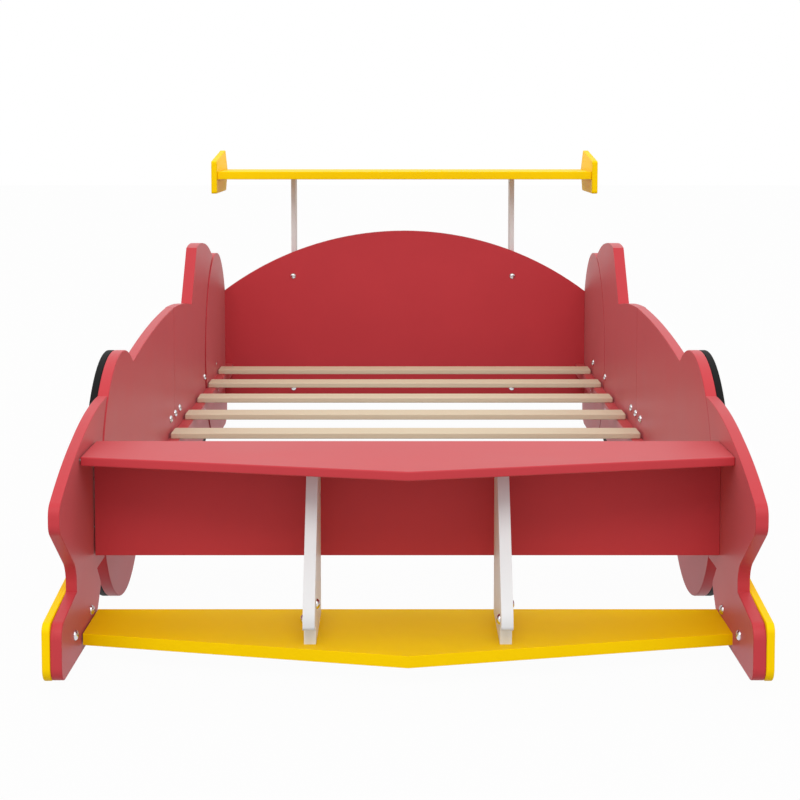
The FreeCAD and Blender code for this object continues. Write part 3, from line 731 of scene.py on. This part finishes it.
def end_plate_spots():
    """From outside through the end plates into the ends of the wing."""
    wing_low, wing_high = box_of("spoiler_wing")
    spots = []
    for node in pair("spoiler_end_plate"):
        low, high = box_of(node)
        face = low.x if low.x < 0 else high.x
        facing = outwards(Vector((face, 0, 0)))
        spots += [(Vector((face, along, (wing_low.z + wing_high.z) / 2)), facing)
                  for along in spread(wing_low.y + sizes().screw_inset,
                                      wing_high.y - sizes().screw_inset, SCREWS_PER_WING_END)]
    return spots


def shelf_spots():
    """From outside through the nose panels into the ends of the shelves, two by their back edge."""
    spots = []
    for shelf in ("top_shelf", "lower_shelf"):
        low, high = box_of(shelf)
        for panel in pair("nose_panel"):
            panel_low, panel_high = box_of(panel)
            face = panel_low.x if panel_low.x < 0 else panel_high.x
            facing = outwards(Vector((face, 0, 0)))
            straight = high.y - sizes().screw_inset
            spots += [(Vector((face, along, (low.z + high.z) / 2)), facing)
                      for along in (straight, straight - sizes().screw_inset)]
    return spots


class CARBED_OT_screws(bpy.types.Operator):
    """Wood screws with low flat heads: rails, slats, shelves and the wing's end plates"""
    bl_idname = "car_bed.screws"
    bl_label = "Screws"

    def execute(self, context):
        spots = [(place, facing, sizes().screw_length) for place, facing
                 in rail_spots() + slat_spots() + end_plate_spots() + shelf_spots()]
        placed_fixings("wood_screws", spots, flat_head(), sizes().screw_shank,
                       SLOT_OF["seam_bolts"])
        return {"FINISHED"}


class CARBED_OT_stage(bpy.types.Operator):
    """Pale floor, white surroundings, soft lights and the camera"""
    bl_idname = "car_bed.stage"
    bl_label = "Studio"

    def execute(self, context):
        white_world()
        pale_floor()
        soft_light("front light", FRONT_LIGHT, FRONT_LIGHT_AIM, FRONT_LIGHT_WIDTH, studio().key)
        soft_light("top light", TOP_LIGHT, TOP_LIGHT_AIM, TOP_LIGHT_WIDTH, studio().top)
        camera_at_the_nose()
        context.scene.view_settings.view_transform = "Standard"
        return {"FINISHED"}


def seen_rays(tree):
    """1 for what the camera, a gloss or a clear body sees, 0 for what lights the object."""
    path = add(tree, "ShaderNodeLightPath")
    total = path.outputs["Is Camera Ray"]
    for ray in ("Is Glossy Ray", "Is Transmission Ray"):
        total = add(tree, "ShaderNodeMath", links={0: total, 1: path.outputs[ray]},
                    operation="MAXIMUM").outputs["Value"]
    return total


def white_world():
    """White behind the bed; a plain lower level for the light that it gives."""
    world = bpy.data.worlds.new("white studio")
    bpy.context.scene.world = world
    world.use_nodes = True
    tree = world.node_tree
    tree.nodes.clear()
    level = add(tree, "ShaderNodeMapRange", {"To Min": studio().ambient, "To Max": 1.0},
                {"Value": seen_rays(tree)})
    light = add(tree, "ShaderNodeBackground", {"Color": (1, 1, 1, 1)},
                {"Strength": level.outputs["Result"]})
    add(tree, "ShaderNodeOutputWorld", links={"Surface": light.outputs["Background"]})


def pale_floor():
    """Matt pale studio sheet, of which the camera sees little more than white and the shadow."""
    sheet, tree = blank_material("matt studio sheet")
    matt = add(tree, "ShaderNodeBsdfPrincipled", {"Base Color": colours().floor, "Roughness": 0.9})
    glow = add(tree, "ShaderNodeEmission", {"Color": (1, 1, 1, 1), "Strength": 1.0})
    share = add(tree, "ShaderNodeMath", {1: FLOOR_WHITE_SHARE}, {0: seen_rays(tree)},
                operation="MULTIPLY")
    mix = add(tree, "ShaderNodeMixShader", links={"Fac": share.outputs["Value"]})
    tree.links.new(matt.outputs["BSDF"], mix.inputs[1])
    tree.links.new(glow.outputs["Emission"], mix.inputs[2])
    add(tree, "ShaderNodeOutputMaterial", links={"Surface": mix.outputs["Shader"]})
    shape = bmesh.new()
    bmesh.ops.create_grid(shape, x_segments=1, y_segments=1, size=FLOOR_HALF_WIDTH)
    mesh = bpy.data.meshes.new("floor")
    shape.to_mesh(mesh)
    shape.free()
    mesh.materials.append(sheet)
    new_piece("floor", mesh)


def soft_light(name, place, target, width, power):
    """Square soft box, turned towards its target."""
    lamp = bpy.data.lights.new(name, "AREA")
    lamp.shape = "SQUARE"
    lamp.size = width
    lamp.energy = power
    holder = bpy.data.objects.new(name, lamp)
    holder.location = place
    holder.rotation_euler = (target - place).to_track_quat("-Z", "Y").to_euler()
    bpy.context.scene.collection.objects.link(holder)


def camera_at_the_nose():
    """Camera in front of the nose, a little higher than the wing, as the photograph was taken."""
    lens = bpy.data.cameras.new("camera")
    lens.lens = studio().lens
    lens.sensor_width = SENSOR_WIDTH
    lens.shift_y = studio().shift
    camera = bpy.data.objects.new("camera", lens)
    camera.location = (-studio().camera_x, -studio().camera_y, studio().camera_z)
    camera.rotation_euler = (math.radians(90 - studio().camera_pitch), 0, 0)
    bpy.context.scene.collection.objects.link(camera)
    bpy.context.scene.camera = camera


class CARBED_PT_panel(bpy.types.Panel):
    """Colours, sizes and studio of the bed, and a button for each step"""
    bl_idname = "CARBED_PT_panel"
    bl_label = "Car bed"
    bl_space_type = "VIEW_3D"
    bl_region_type = "UI"
    bl_category = "Car bed"

    def draw(self, context):
        for group in (colours(), sizes(), studio()):
            for name in group.__annotations__:
                self.layout.prop(group, name)
        for operator in OPERATORS:
            self.layout.operator(operator.bl_idname)


OPERATORS = (
    CARBED_OT_side_boards,
    CARBED_OT_cross_boards,
    CARBED_OT_spoiler,
    CARBED_OT_wheels,
    CARBED_OT_slats,
    CARBED_OT_bolts,
    CARBED_OT_screws,
    CARBED_OT_stage,
)
GROUPS = (CarBedColours, CarBedSizes, CarBedStudio)


def register():
    for cls in GROUPS + OPERATORS + (CARBED_PT_panel,):
        bpy.utils.register_class(cls)
    bpy.types.Scene.car_bed_colours = bpy.props.PointerProperty(type=CarBedColours)
    bpy.types.Scene.car_bed_sizes = bpy.props.PointerProperty(type=CarBedSizes)
    bpy.types.Scene.car_bed_studio = bpy.props.PointerProperty(type=CarBedStudio)


def unregister():
    del bpy.types.Scene.car_bed_studio
    del bpy.types.Scene.car_bed_sizes
    del bpy.types.Scene.car_bed_colours
    for cls in reversed(GROUPS + OPERATORS + (CARBED_PT_panel,)):
        bpy.utils.unregister_class(cls)


def main():
    register()
    for operator in OPERATORS:
        group, name = operator.bl_idname.split(".")
        getattr(getattr(bpy.ops, group), name)()


if __name__ == "__main__":
    main()
